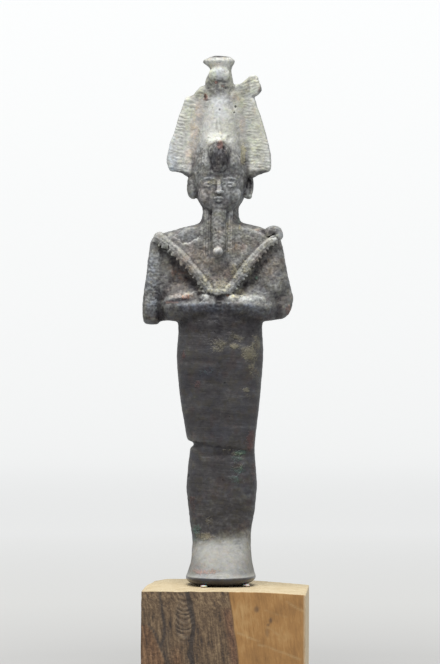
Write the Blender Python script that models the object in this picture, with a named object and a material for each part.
"""A small bronze statuette of a standing, shrouded figure with a tall plumed crown,
fixed on its block of old timber.

The bronze is one solid casting: body, arms, crook, flail, beard, head and crown were
joined in wax and poured in one go, so here their forms are joined in one object and
fused by a voxel Remesh. The block and the two beads of mounting wax are pieces of
their own. Frame: metres, +Z up, front towards -Y, origin at the middle of the
block's underside.
"""

import math

import bpy
import numpy as np

# Driving dimensions, in metres.
FIGURE_HEIGHT = 0.164  # underside of the feet to the top of the crown
BLOCK_WIDTH = 0.050
BLOCK_DEPTH = 0.050
BLOCK_HEIGHT = 0.032  # where its top is level, under the figure and to the left
BLOCK_TOP_FALL = 0.0015  # how far the top falls away at the right side
BLOCK_LEFT_LEAN = 0.0007  # how far the left side's top stands inside its foot
BLOCK_RIGHT_LEAN = 0.0009  # how far the right side's foot stands inside its top
BLOCK_EDGE = 0.0006  # worn bevel on the block's edges
TOP_STRIPS = 10  # flat strips that make up the top's curve
FIGURE_LEFT_OF_CENTRE = 0.0022
FIGURE_BEHIND_CENTRE = 0.0045
SEAT_GAP = 0.0003  # clear height under the foot where it comes nearest to the block
WAX_GAP = 0.0001  # clear height kept above and below a bead of wax
WAX_RINGS, WAX_SIDES = 5, 16

# Carved sizes are marks of a ruler laid along the figure, a little over a millimetre
# each. MM makes a mark a share of the figure's height.
SOLE = 1.0  # where the underside of the feet lies on the ruler
CROWN_TOP = 164.0
MM = FIGURE_HEIGHT / (CROWN_TOP - SOLE)

# How finely the forms are drawn and fused.
SIDES = 56  # points round a form
ROWS = 90  # rings along a form
VOXEL = 0.42 * MM
KEPT_FACES = 0.049  # share of the fused faces that the Decimate keeps

# Heights of the landmarks on the ruler.
KNEE = 42.0
SHOULDER = 108.0
NECK = 115.5
CHIN = 116.5
BROW = 125.4
BAND = 127.6  # lower edge of the crown
FOOT_FLAT_HALF = 6.5  # half the width of the flat under the feet

# How square the level rings are: 2 is an ellipse, and more is squarer.
BODY_SQUARENESS = 2.5
ARMS_SQUARENESS = 3.2
HEAD_SQUARENESS = 2.3
CROWN_SQUARENESS = 2.15
LASHES_SQUARENESS = 3.0

# Forms built up of level rings: height, left edge, right edge, front, back.
# Left is -X, and front and back are distances from the figure's middle plane.
SHROUDED_BODY = [
    (SOLE, -FOOT_FLAT_HALF, FOOT_FLAT_HALF, 12.5, 5.5),
    (1.4, -8.6, 8.7, 14.3, 6.8),
    (2.0, -10.0, 10.1, 15.6, 7.8),
    (3.0, -10.6, 10.8, 16.2, 8.1),
    (3.7, -10.5, 10.7, 16.0, 8.0),
    (4.3, -10.2, 10.4, 15.0, 7.9),
    (9.2, -8.9, 9.6, 10.8, 7.4),
    (14.2, -8.7, 9.4, 6.6, 6.9),
    (16.0, -8.9, 9.4, 6.1, 6.8),
    (22.3, -9.7, 10.4, 6.2, 6.7),
    (31.0, -10.45, 11.2, 6.9, 6.9),
    (KNEE, -9.6, 10.7, 6.8, 6.9),
    (50.0, -11.1, 11.3, 7.2, 7.3),
    (59.5, -12.6, 12.3, 7.7, 7.9),
    (71.8, -13.5, 13.2, 7.9, 8.3),
    (80.0, -13.0, 12.9, 7.0, 7.6),
    (88.0, -13.0, 13.0, 4.4, 6.6),
    (SHOULDER, -11.0, 11.0, 4.2, 6.2),
    (112.5, -6.2, 6.4, 5.2, 5.6),
    (NECK, -5.5, 5.6, 5.2, 5.6),
    (121.0, -5.5, 5.6, 5.0, 5.6),
]
ARM_MASS = [
    (82.1, -20.5, 16.0, 3.0, 3.0),
    (82.9, -23.2, 19.8, 4.0, 4.4),
    (85.0, -23.9, 21.9, 4.3, 5.2),
    (88.5, -23.8, 22.5, 3.8, 5.6),
    (98.4, -22.6, 20.5, 3.4, 5.6),
    (106.0, -21.8, 19.2, 3.4, 5.2),
    (108.4, -20.6, 18.0, 3.6, 4.8),
    (110.0, -14.8, 15.0, 3.8, 4.4),
    (111.2, -10.5, 12.0, 3.5, 4.0),
    (112.4, -6.0, 7.0, 3.0, 3.4),
]
HEAD = [
    (115.2, -3.4, 3.4, 7.2, 3.0),
    (CHIN, -4.7, 4.7, 8.9, 6.0),
    (119.0, -6.6, 6.5, 9.6, 7.8),
    (122.0, -7.8, 7.7, 9.8, 8.6),
    (BROW, -8.5, 8.4, 9.7, 9.0),
    (129.0, -8.6, 8.4, 9.5, 9.0),
    (132.0, -7.4, 7.2, 8.0, 8.0),
    (134.0, -5.0, 5.0, 5.0, 5.0),
]
CROWN = [
    (125.5, -7.9, 7.5, 8.6, 8.4),
    (BAND, -8.6, 8.1, 10.0, 9.0),
    (130.0, -8.5, 7.8, 9.7, 8.9),
    (135.5, -7.6, 7.1, 8.6, 7.9),
    (141.0, -6.7, 6.0, 7.4, 6.6),
    (146.0, -5.3, 4.8, 6.0, 5.2),
    (149.6, -4.0, 3.7, 4.6, 4.0),
    (151.0, -4.0, 3.7, 3.7, 3.9),
    (153.4, -4.7, 4.1, 2.8, 4.1),
    (155.6, -4.6, 4.0, 3.0, 4.2),
    (158.0, -3.9, 3.6, 3.2, 3.8),
    (159.6, -3.2, 3.3, 3.1, 3.3),
    (160.6, -3.7, 3.5, 3.2, 3.5),
    (161.6, -5.0, 4.2, 3.7, 4.4),
    (162.3, -5.5, 4.5, 4.1, 4.8),
    (163.4, -4.1, 3.4, 3.3, 3.8),
    (CROWN_TOP, -2.1, 1.6, 1.6, 1.9),
]
FLAIL_LASHES = [
    (81.0, -23.1, -19.4, 3.8, 2.4),
    (82.0, -23.9, -18.7, 5.0, 3.0),
    (86.0, -24.1, -18.7, 5.8, 3.4),
    (96.0, -22.9, -18.0, 6.0, 3.4),
    (104.0, -21.9, -17.6, 5.8, 3.2),
    (107.6, -21.3, -17.8, 4.8, 2.6),
]

# The crook's head is a ring that stays open on one side; its shaft ends inside it.
CURL_X, CURL_HEIGHT, CURL_FRONT = 16.3, 108.7, 4.6
CURL_RADIUS, CURL_THICK = 1.95, 1.25
CURL_FROM, CURL_TO = math.radians(-40), math.radians(205)

# Forms drawn along a path: points as x, height and distance in front of the middle
# plane, then the half width in the plane of the figure and the half depth.
CROOK_SHAFT = [
    (2.2, 90.6, 6.8, 1.5, 1.7),
    (7.3, 98.3, 6.7, 1.6, 1.7),
    (11.0, 102.4, 6.3, 1.6, 1.7),
    (14.5, 105.8, 5.6, 1.5, 1.6),
    (CURL_X + 1.3, CURL_HEIGHT - 1.0, 4.8, 1.3, 1.5),
]
FLAIL_SHAFT = [
    (-2.4, 90.6, 6.8, 1.5, 1.7),
    (-8.7, 96.6, 6.7, 1.6, 1.7),
    (-14.5, 103.4, 5.8, 1.7, 1.7),
    (-18.0, 106.9, 4.9, 1.9, 1.6),
    (-20.4, 108.6, 4.2, 1.9, 1.4),
]
TEETH = 16  # nicks along the outer edge of each shaft
TOOTH_RISE = 0.36  # how far a tooth stands out, as a share of the shaft's half width
RIGHT_FOREARM = [
    (18.2, 88.0, 2.0, 4.4, 3.4),
    (12.5, 87.4, 3.9, 4.5, 3.4),
    (5.5, 87.8, 5.3, 4.0, 3.2),
    (0.5, 86.4, 5.3, 3.3, 2.9),
    (-3.0, 86.0, 5.0, 2.8, 2.7),
]
LEFT_FOREARM = [(-x - 0.6, z, f, w, d) for x, z, f, w, d in RIGHT_FOREARM]
RIGHT_UPPER_ARM = [
    (14.4, 106.2, 1.2, 4.4, 3.2),
    (15.4, 97.0, 1.5, 5.2, 3.7),
    (16.6, 89.0, 2.0, 5.4, 3.6),
]
LEFT_UPPER_ARM = [
    (-16.6, 106.0, 0.4, 4.0, 3.2),
    (-17.4, 97.0, 0.4, 4.4, 3.4),
    (-18.0, 88.8, 1.4, 4.8, 3.6),
]
BEARD = [
    (-0.1, 117.6, 7.6, 2.2, 2.0),
    (-0.1, 112.0, 7.1, 2.2, 2.1),
    (-0.2, 106.4, 7.2, 2.1, 2.0),
    (-0.4, 103.0, 7.8, 1.7, 1.8),
]
BEARD_BANDS = 9  # plaited bands down the beard
BEARD_BAND_RISE = 0.1
STRAPS = [
    [(-3.9, 116.8, 4.6, 1.3, 1.7), (-3.7, 111.5, 5.4, 1.2, 1.5), (-3.6, 106.4, 5.7, 1.0, 1.1)],
    [(3.0, 116.8, 4.8, 1.3, 1.7), (2.9, 109.5, 5.6, 1.2, 1.5), (3.5, 101.6, 5.8, 0.9, 1.0)],
]
NOSE = [(0.0, BROW, 9.1, 0.6, 0.7), (0.0, 121.4, 10.2, 1.1, 1.1)]
BROWS = [
    [(side * 1.2, 125.4, 9.3, 0.45, 0.6), (side * 3.4, 126.0, 8.9, 0.45, 0.6),
     (side * 5.8, 125.2, 7.4, 0.4, 0.6)]
    for side in (-1, 1)
]
SERPENT_TAIL = [
    (0.0, 146.4, 5.5, 0.45, 0.8),
    (-0.25, 142.2, 6.9, 0.5, 0.8),
    (0.4, 138.6, 7.9, 0.6, 0.9),
]

# Rounded lumps: x, height, front, then their half sizes across, up and in depth.
LUMPS = {
    "beard tip": (-0.3, 103.4, 8.9, 1.65, 1.65, 1.7),
    "left fist": (-4.0, 88.9, 7.0, 1.9, 1.9, 2.4),
    "right fist": (3.8, 88.8, 7.0, 1.8, 1.9, 2.4),
    "meeting of the shafts": (-0.2, 91.5, 6.2, 5.0, 1.1, 2.3),
    "crown's ball": (-0.25, 158.4, 2.6, 2.9, 2.2, 2.2),
    "serpent's stub": (-0.2, 132.7, 9.0, 2.4, 4.4, 3.4),
    "stub's right bulge": (1.0, 133.6, 8.8, 2.3, 2.4, 2.9),
    "stub's peak": (0.1, 136.4, 8.4, 1.3, 1.8, 2.6),
    "serpent's collar": (-0.6, 136.4, 6.2, 4.0, 2.5, 2.6),
    "serpent's side": (3.4, 133.6, 8.2, 1.3, 1.2, 1.7),
    "left ear": (-8.9, 122.9, -0.4, 1.6, 3.1, 2.0),
    "left ear lobe": (-9.4, 120.4, 0.8, 0.8, 0.9, 1.2),
    "right ear": (8.6, 122.9, -0.4, 1.3, 3.2, 2.0),
    "right ear lobe": (8.9, 120.6, 0.8, 0.9, 1.0, 1.2),
    "left eye": (-3.2, 123.9, 8.5, 1.7, 0.75, 1.1),
    "right eye": (3.2, 123.9, 8.5, 1.7, 0.75, 1.1),
    "lips": (0.0, 119.1, 9.2, 1.9, 0.75, 1.1),
    "chin": (0.0, 117.2, 7.9, 2.2, 1.4, 1.5),
    "right lug": (6.6, 1.35, 10.0, 0.8, 0.75, 0.8),
}

# Beads of wax: x, front, and how far the sole has risen above its flat over the bead.
WAX_BEADS = {"wax_bead_left": (-4.4, 14.9, 0.55), "wax_bead_right": (8.4, 10.6, 0.65)}
WAX_RADIUS = 1.1

# Flat forms: a closed outline of x and height, then front, back and edge rounding.
CHEST = {
    "outline": [(-18.4, 107.6), (-13.0, 110.2), (-6.0, 112.0), (6.0, 112.0), (12.5, 110.4),
                (16.6, 107.9), (12.2, 103.6), (7.0, 97.8), (3.0, 91.2), (-3.4, 91.2),
                (-8.6, 96.4), (-14.2, 103.0)],
    "front": 6.4, "back": 0.0, "rounding": 0.12,
}
LEFT_FEATHER = {
    "outline": [(-15.4, 128.2), (-16.3, 129.8), (-16.5, 132.5), (-15.6, 136.9), (-14.1, 140.8),
                (-12.9, 145.2), (-10.8, 149.9), (-7.0, 152.9), (-5.4, 153.8), (-2.6, 151.0),
                (-2.6, 139.0), (-3.0, 127.0), (-9.4, 126.3), (-12.0, 127.6)],
    "front": 3.0, "back": 2.0, "rounding": 0.10,
}
RIGHT_FEATHER = {
    "outline": [(15.2, 128.2), (15.75, 130.2), (15.5, 134.0), (14.4, 138.9), (12.6, 145.2),
                (11.3, 148.6), (10.3, 151.2), (7.4, 154.0), (3.6, 153.6), (2.6, 150.0),
                (2.6, 139.0), (3.0, 127.0), (9.4, 126.2), (12.2, 127.4)],
    "front": 3.0, "back": 2.0, "rounding": 0.10,
}
FEATHER_TIP = {
    "outline": [(4.2, 154.6), (6.6, 155.6), (8.5, 157.1), (9.9, 157.8), (11.3, 157.2),
                (12.1, 155.4), (12.75, 153.7), (12.3, 152.8), (10.7, 151.4), (7.5, 150.4), (4.6, 151.8)],
    "front": 2.8, "back": 1.8, "rounding": 0.16,
}
BARB_PITCH = 1.9  # spacing of the broad flutes across the feathers
BARB_DEPTH = 0.45
BARB_RISE = 0.22  # how steeply the flutes climb towards the feather's outer edge

# A chip out of the shroud's left edge: its foot, its top and how deep it goes.
CHIP_FOOT, CHIP_TOP, CHIP_EDGE = 39.6, 44.4, -8.7


def clear_scene():
    for found in list(bpy.data.objects):
        bpy.data.objects.remove(found)


def smooth_through(keys, values, at):
    """Cubic curve through the pairs that never overshoots them.

    Each slope is the harmonic mean of its two chords, or nought at a turning point.
    """
    keys = np.asarray(keys, float)
    values = np.asarray(values, float).reshape(len(keys), -1)
    step = np.diff(keys)[:, None]
    chord = np.diff(values, axis=0) / step
    slope = np.empty_like(values)
    slope[0], slope[-1] = chord[0], chord[-1]
    product = chord[:-1] * chord[1:]
    total = np.where(product > 0, chord[:-1] + chord[1:], 1.0)
    slope[1:-1] = np.where(product > 0, 2 * product / total, 0.0)
    piece = np.clip(np.searchsorted(keys, at, side="right") - 1, 0, len(keys) - 2)
    h = step[piece]
    t = ((at - keys[piece]) / h[:, 0])[:, None]
    return (
        (2 * t**3 - 3 * t**2 + 1) * values[piece]
        + (t**3 - 2 * t**2 + t) * h * slope[piece]
        + (3 * t**2 - 2 * t**3) * values[piece + 1]
        + (t**3 - t**2) * h * slope[piece + 1]
    )


def ring_grid(rings):
    """Vertices and faces of a closed form: rings joined by quads, with a pole at each end."""
    rows, sides, _ = rings.shape
    ends = [rings[0].mean(axis=0), rings[-1].mean(axis=0)]
    vertices = np.vstack([rings.reshape(-1, 3), ends])
    row, side = np.meshgrid(np.arange(rows - 1), np.arange(sides), indexing="ij")
    a, b = row * sides + side, row * sides + (side + 1) % sides
    quads = np.stack([a, b, b + sides, a + sides], axis=-1).reshape(-1, 4)
    here, beyond = np.arange(sides), (np.arange(sides) + 1) % sides
    last = (rows - 1) * sides
    foot = np.full(sides, rows * sides)
    foot_cap = np.stack([foot, beyond, here], axis=-1)
    top_cap = np.stack([foot + 1, last + here, last + beyond], axis=-1)
    return vertices, quads.tolist() + foot_cap.tolist() + top_cap.tolist()


def level_rings(stations, squareness):
    """A form of level rings: each a superellipse with its own left, right, front and back."""
    table = np.array(stations, float)
    heights = np.unique(np.concatenate([np.linspace(table[0, 0], table[-1, 0], ROWS), table[:, 0]]))
    left, right, front, back = smooth_through(table[:, 0], table[:, 1:], heights).T
    turn = np.linspace(0, 2 * math.pi, SIDES, endpoint=False)
    across = np.sign(np.cos(turn)) * np.abs(np.cos(turn)) ** (2 / squareness)
    deep = np.sign(np.sin(turn)) * np.abs(np.sin(turn)) ** (2 / squareness)
    x = ((left + right) / 2)[:, None] + ((right - left) / 2)[:, None] * across
    y = np.where(deep < 0, front[:, None] * deep, back[:, None] * deep)
    z = np.broadcast_to(heights[:, None], x.shape)
    return ring_grid(np.stack([x, y, z], axis=-1))


def drawn_form(path, bands=0, band_rise=0.0, teeth=0, teeth_side=1):
    """A rounded bar drawn along a path: an ellipse across the path at each step.

    The half width lies in the figure's plane and the half depth runs to front and
    back. Both die away as a quarter circle over the last half width at each end.
    Bands swell the whole bar as a wave; teeth do so on one side of it only.
    """
    table = np.array(path, float)
    gaps = np.linalg.norm(np.diff(table[:, :2], axis=0), axis=1)
    run = np.concatenate([[0.0], np.cumsum(gaps)])
    ends = 0.5 - 0.5 * np.cos(np.linspace(0, math.pi, ROWS))
    at = run[-1] * ends
    x, z, front, wide, deep = smooth_through(run, table, at).T
    near_end = np.minimum(at, run[-1] - at) / wide
    dome = np.sqrt(np.clip(1 - (1 - np.clip(near_end, 0, 1)) ** 2, 1e-4, 1))
    share = at / run[-1]
    swell = 1 + band_rise * np.cos(2 * math.pi * bands * share)
    tangent = np.stack([np.gradient(x, at), np.gradient(z, at)], axis=-1)
    tangent /= np.linalg.norm(tangent, axis=1)[:, None]
    turn = np.linspace(0, 2 * math.pi, SIDES // 2, endpoint=False)
    tooth = TOOTH_RISE * (0.5 + 0.5 * np.cos(2 * math.pi * teeth * share)) if teeth else 0 * share
    outer = np.clip(teeth_side * np.cos(turn), 0, 1)
    out = (wide * dome * swell)[:, None] * (1 + tooth[:, None] * outer) * np.cos(turn)
    ahead = (deep * dome * swell)[:, None] * np.sin(turn)
    points = np.stack(
        [
            x[:, None] - tangent[:, 1:] * out,
            -front[:, None] - ahead,
            z[:, None] + tangent[:, :1] * out,
        ],
        axis=-1,
    )
    return ring_grid(points[:, ::-1])


def curl():
    """The crook's head: the shaft's end bent round in a ring that stays open on one side."""
    turn = np.linspace(CURL_FROM, CURL_TO, 9)
    return drawn_form(
        [
            (
                CURL_X + CURL_RADIUS * math.cos(a),
                CURL_HEIGHT + CURL_RADIUS * math.sin(a),
                CURL_FRONT,
                CURL_THICK,
                CURL_THICK * 1.2,
            )
            for a in turn
        ]
    )


def lump(x, height, front, across, up, deep, rows=ROWS // 3, sides=SIDES // 2):
    """An ellipsoid, ring by ring from its foot to its top."""
    climb = np.linspace(math.pi / (rows + 1), math.pi * rows / (rows + 1), rows)[:, None]
    turn = np.linspace(0, 2 * math.pi, sides, endpoint=False)
    return ring_grid(
        np.stack(
            [
                x + across * np.sin(climb) * np.cos(turn),
                -front + deep * np.sin(climb) * np.sin(turn),
                np.broadcast_to(height - up * np.cos(climb), (len(climb), len(turn))),
            ],
            axis=-1,
        )
    )


def closed_outline(corners, steps=12):
    """A round-cornered line through the corners and back to the first (Catmull-Rom)."""
    p = np.array(corners, float)
    t = np.linspace(0, 1, steps, endpoint=False)[None, :, None]
    before, after, beyond = np.roll(p, 1, 0), np.roll(p, -1, 0), np.roll(p, -2, 0)
    a, b, c, d = (q[:, None] for q in (before, p, after, beyond))
    curve = b + t * (c - a) / 2 + t**2 * (a - 2.5 * b + 2 * c - d / 2) + t**3 * (1.5 * (b - c) + (d - a) / 2)
    return curve.reshape(-1, 2)


def plate(shape, flutes=False):
    """A flat form: its outline shrunk towards its middle in steps, from the back to the front.

    With flutes, the front face rises and falls as a wave that climbs outwards.
    """
    line = closed_outline(shape["outline"])
    middle = line.mean(axis=0)
    shrink, depth = [], []
    for share in np.linspace(0.02, 0.8, 14):
        shrink.append(share)
        depth.append(1.0)
    for a in np.linspace(0, math.pi / 2, 6):
        shrink.append(1 - shape["rounding"] * (1 - math.sin(a)))
        depth.append(math.cos(a))
    shrink, depth = np.array(shrink), np.array(depth)
    shares = np.concatenate([shrink, shrink[::-1]])
    y = np.concatenate([shape["back"] * depth, -shape["front"] * depth[::-1]])
    flat = middle + shares[:, None, None] * (line - middle)
    y = np.broadcast_to(y[:, None], flat.shape[:2]).copy()
    if flutes:
        climb = flat[..., 1] - BARB_RISE * np.abs(flat[..., 0])
        wave = BARB_DEPTH / 2 * np.cos(2 * math.pi * climb / BARB_PITCH)
        y -= np.where(y < 0, wave, 0.0)
    rings = np.stack([flat[..., 0], y, flat[..., 1]], axis=-1)
    area = np.sum(line[:, 0] * np.roll(line[:, 1], -1) - line[:, 1] * np.roll(line[:, 0], -1))
    return ring_grid(rings if area < 0 else rings[:, ::-1])


def chip_out(form):
    """Takes a chip out of the body's left edge: nothing stays left of a line that leans outwards."""
    vertices, faces = form
    x, _, z = vertices.T
    inside = (z > CHIP_FOOT) & (z < CHIP_TOP)
    lean = (z - CHIP_FOOT) / (CHIP_TOP - CHIP_FOOT)
    limit = CHIP_EDGE - 1.3 * (1 - lean)
    vertices[:, 0] = np.where(inside & (x < limit), limit, x)
    return vertices, faces


def figure_forms():
    """Every form of the casting, as vertices and faces in marks of the ruler."""
    forms = [
        chip_out(level_rings(SHROUDED_BODY, BODY_SQUARENESS)),
        level_rings(ARM_MASS, ARMS_SQUARENESS),
        level_rings(HEAD, HEAD_SQUARENESS),
        level_rings(CROWN, CROWN_SQUARENESS),
        level_rings(FLAIL_LASHES, LASHES_SQUARENESS),
        drawn_form(CROOK_SHAFT, teeth=TEETH, teeth_side=-1),
        drawn_form(FLAIL_SHAFT, teeth=TEETH, teeth_side=1),
        drawn_form(BEARD, BEARD_BANDS, BEARD_BAND_RISE),
        curl(),
        plate(CHEST),
        plate(LEFT_FEATHER, flutes=True),
        plate(RIGHT_FEATHER, flutes=True),
        plate(FEATHER_TIP, flutes=True),
    ]
    for path in [RIGHT_FOREARM, LEFT_FOREARM, RIGHT_UPPER_ARM, LEFT_UPPER_ARM,
                 NOSE, SERPENT_TAIL, *STRAPS, *BROWS]:
        forms.append(drawn_form(path))
    forms += [lump(*size) for size in LUMPS.values()]
    return forms


def material(name, colour, roughness, metallic):
    made = bpy.data.materials.new(name)
    made.use_nodes = True
    shader = made.node_tree.nodes["Principled BSDF"]
    shader.inputs["Base Color"].default_value = (*colour, 1.0)
    shader.inputs["Roughness"].default_value = roughness
    shader.inputs["Metallic"].default_value = metallic
    return made


def mesh_object(name, vertices, faces, finish):
    mesh = bpy.data.meshes.new(name)
    mesh.from_pydata([tuple(v) for v in vertices], [], faces)
    mesh.materials.append(finish)
    made = bpy.data.objects.new(name, mesh)
    bpy.context.collection.objects.link(made)
    return made


def block_top(x):
    """Height of the block's top at x: level on the left, a falling parabola on the right."""
    return BLOCK_HEIGHT - BLOCK_TOP_FALL * np.clip(x / (BLOCK_WIDTH / 2), 0, 1) ** 2


def make_statuette(bronze):
    vertices, faces, count = [], [], 0
    for form_vertices, form_faces in figure_forms():
        vertices.append(form_vertices)
        faces += [[count + i for i in face] for face in form_faces]
        count += len(form_vertices)
    statuette = mesh_object("osiris_statuette", np.vstack(vertices) * MM, faces, bronze)
    ruler_foot = BLOCK_HEIGHT + SEAT_GAP - SOLE * MM
    statuette.location = (-FIGURE_LEFT_OF_CENTRE, FIGURE_BEHIND_CENTRE, ruler_foot)
    fuse = statuette.modifiers.new("fuse the forms", "REMESH")
    fuse.mode = "VOXEL"
    fuse.voxel_size = VOXEL
    fuse.use_smooth_shade = True
    thin = statuette.modifiers.new("fewer faces", "DECIMATE")
    thin.ratio = KEPT_FACES
    return statuette


def make_block(wood):
    """The block: its front outline, a little out of square, carried straight to the back."""
    half_width, half_depth = BLOCK_WIDTH / 2, BLOCK_DEPTH / 2
    outline = [(-half_width, 0.0), (half_width - BLOCK_RIGHT_LEAN, 0.0)]
    for x in np.linspace(half_width, -half_width + BLOCK_LEFT_LEAN, TOP_STRIPS + 1):
        outline.append((x, block_top(x)))
    count = len(outline)
    corners = [(x, y, z) for y in (-half_depth, half_depth) for x, z in outline]
    ends = [tuple(range(count)), tuple(reversed(range(count, 2 * count)))]
    sides = [(i, i + count, (i + 1) % count + count, (i + 1) % count) for i in range(count)]
    block = mesh_object("wooden_block", corners, ends + sides, wood)
    worn = block.modifiers.new("worn edges", "BEVEL")
    worn.width = BLOCK_EDGE
    worn.segments = 2
    return block


def make_wax(name, wax):
    """A squeezed bead of mounting wax between the rim of the foot and the block."""
    x, front, sole_rise = WAX_BEADS[name]
    centre_x = x * MM - FIGURE_LEFT_OF_CENTRE
    floor = block_top(centre_x) + WAX_GAP
    half_height = (BLOCK_HEIGHT + SEAT_GAP + sole_rise * MM - WAX_GAP - floor) / 2
    across = WAX_RADIUS * MM
    vertices, faces = lump(0, 0, 0, across, half_height, across, WAX_RINGS, WAX_SIDES)
    bead = mesh_object(name, vertices, faces, wax)
    bead.location = (centre_x, FIGURE_BEHIND_CENTRE - front * MM, floor + half_height)
    return bead


def main():
    clear_scene()
    bronze = material("patinated bronze", (0.16, 0.145, 0.125), 0.5, 0.55)
    wood = material("old timber", (0.33, 0.2, 0.11), 0.75, 0.0)
    wax = material("mounting wax", (0.72, 0.72, 0.66), 0.35, 0.0)
    make_statuette(bronze)
    make_block(wood)
    for name in WAX_BEADS:
        make_wax(name, wax)


main()
